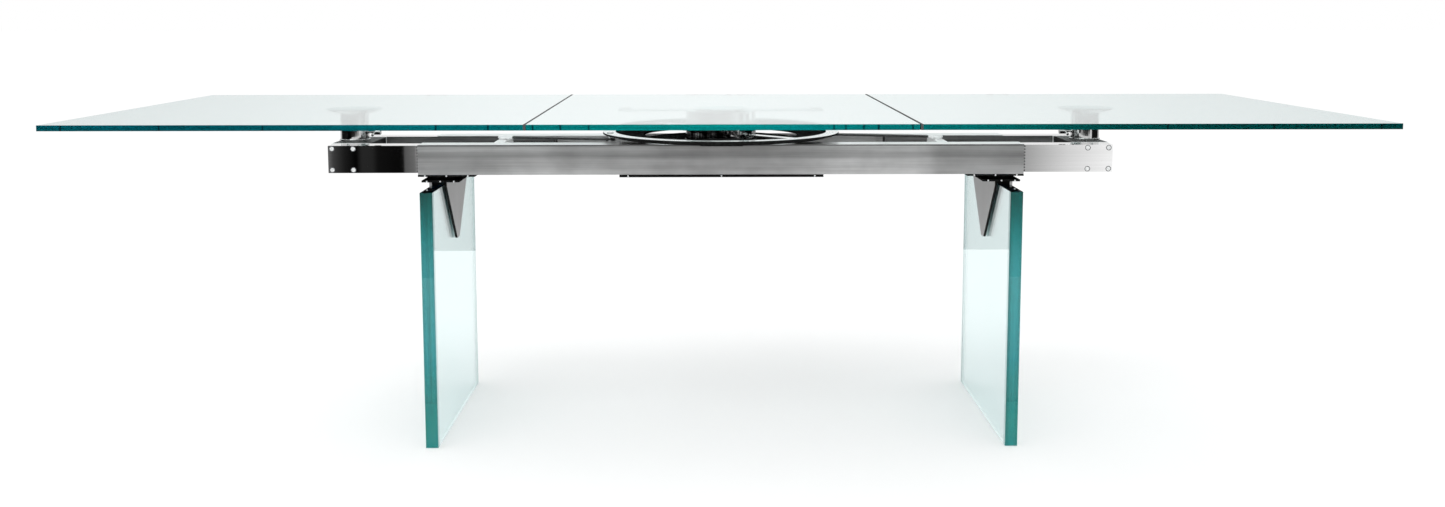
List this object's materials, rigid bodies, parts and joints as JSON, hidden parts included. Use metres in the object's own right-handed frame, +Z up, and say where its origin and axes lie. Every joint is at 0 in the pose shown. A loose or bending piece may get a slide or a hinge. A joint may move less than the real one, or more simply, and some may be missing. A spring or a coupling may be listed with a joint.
{
  "type": "extendable dining table",
  "caption": "Rectangular glass dining table with a rising centre leaf, sliding outer leaves, twin steel beams and slab glass legs.",
  "frame": {"origin": "on the floor under the middle of the fully extended table", "axes": "+X along the table, +Y across it, +Z up"},
  "size_m": [2.782, 1, 0.75],
  "materials": {
    "top_glass": "polished",
    "leg_glass": "polished laminate",
    "brushed_steel": "satin",
    "plate_steel": "satin",
    "polished_steel": "mirror",
    "rubber": "matt"
  },
  "bodies": {
    "frame": {"sleeve_front": "brushed_steel", "sleeve_back": "brushed_steel", "mechanism_plate": "plate_steel", "centre_column": "plate_steel", "guide_race": "brushed_steel", "grease_shield": "plate_steel", "leg_mount_plate_left": "plate_steel", "leg_spacer_left": "plate_steel", "leg_head_plate_left": "plate_steel", "leg_gasket_left": "rubber", "leg_clamp_inner_left": "brushed_steel", "leg_clamp_outer_left": "brushed_steel", "glass_leg_left": "leg_glass", "leg_mount_plate_right": "plate_steel", "leg_spacer_right": "plate_steel", "leg_head_plate_right": "plate_steel", "leg_gasket_right": "rubber", "leg_clamp_inner_right": "brushed_steel", "leg_clamp_outer_right": "brushed_steel", "glass_leg_right": "leg_glass"},
    "rotor": {"rotor_ring": "polished_steel", "crank_pin_left": "polished_steel", "crank_pin_right": "polished_steel", "cam_arm_left": "polished_steel", "cam_arm_right": "polished_steel"},
    "left_rod": {"link_rod_left": "brushed_steel"},
    "right_rod": {"link_rod_right": "brushed_steel"},
    "left_carriage": {"rail_front_left": "brushed_steel", "rail_back_left": "brushed_steel", "cross_bar_left": "brushed_steel", "cross_bar_pin_left": "polished_steel", "end_block_left": "brushed_steel", "post_left": "polished_steel", "lock_knob_left": "polished_steel", "leaf_disc_left": "polished_steel", "seam_seal_left": "rubber", "outer_leaf_left": "top_glass"},
    "right_carriage": {"rail_front_right": "brushed_steel", "rail_back_right": "brushed_steel", "cross_bar_right": "brushed_steel", "cross_bar_pin_right": "polished_steel", "end_block_right": "brushed_steel", "post_right": "polished_steel", "lock_knob_right": "polished_steel", "leaf_disc_right": "polished_steel", "seam_seal_right": "rubber", "outer_leaf_right": "top_glass"},
    "centre_lift": {"lift_shaft": "polished_steel", "lift_drum": "polished_steel", "lift_arm": "brushed_steel", "lift_disc": "polished_steel", "lift_pad_left": "rubber", "lift_pad_right": "rubber", "centre_leaf": "top_glass"}
  },
  "joints": [
    {"name": "ring_turn", "type": "hinge", "parent": "frame", "child": "rotor", "pos_m": [0, 0, 0.6847], "axis": [0, 0, -1], "range_deg": [0, 90.1]},
    {"name": "left_rod_swing", "type": "hinge", "parent": "rotor", "child": "left_rod", "pos_m": [-0.261, -0.06026, 0.6789], "axis": [0, 0, 1], "range_deg": [0, 180.2]},
    {"name": "left_leaf_travel", "type": "hinge", "parent": "left_rod", "child": "left_carriage", "pos_m": [-0.522, 0, 0.6789], "axis": [0, 0, -1], "range_deg": [0, 90.1]},
    {"name": "right_rod_swing", "type": "hinge", "parent": "rotor", "child": "right_rod", "pos_m": [0.261, 0.06026, 0.6789], "axis": [0, 0, 1], "range_deg": [0, 180.2]},
    {"name": "right_leaf_travel", "type": "hinge", "parent": "right_rod", "child": "right_carriage", "pos_m": [0.522, 0, 0.6789], "axis": [0, 0, -1], "range_deg": [0, 90.1]},
    {"name": "centre_leaf_drop", "type": "slide", "parent": "frame", "child": "centre_lift", "axis": [0, 0, -1], "range_m": [0, 0.0424]}
  ],
  "couplings": [
    {"joint": "left_rod_swing", "follows": "ring_turn", "ratio": 2},
    {"joint": "left_leaf_travel", "follows": "ring_turn", "ratio": 1},
    {"joint": "right_rod_swing", "follows": "ring_turn", "ratio": 2},
    {"joint": "right_leaf_travel", "follows": "ring_turn", "ratio": 1},
    {"joint": "centre_leaf_drop", "follows": "ring_turn", "m_per_rad": 0.026963}
  ]
}
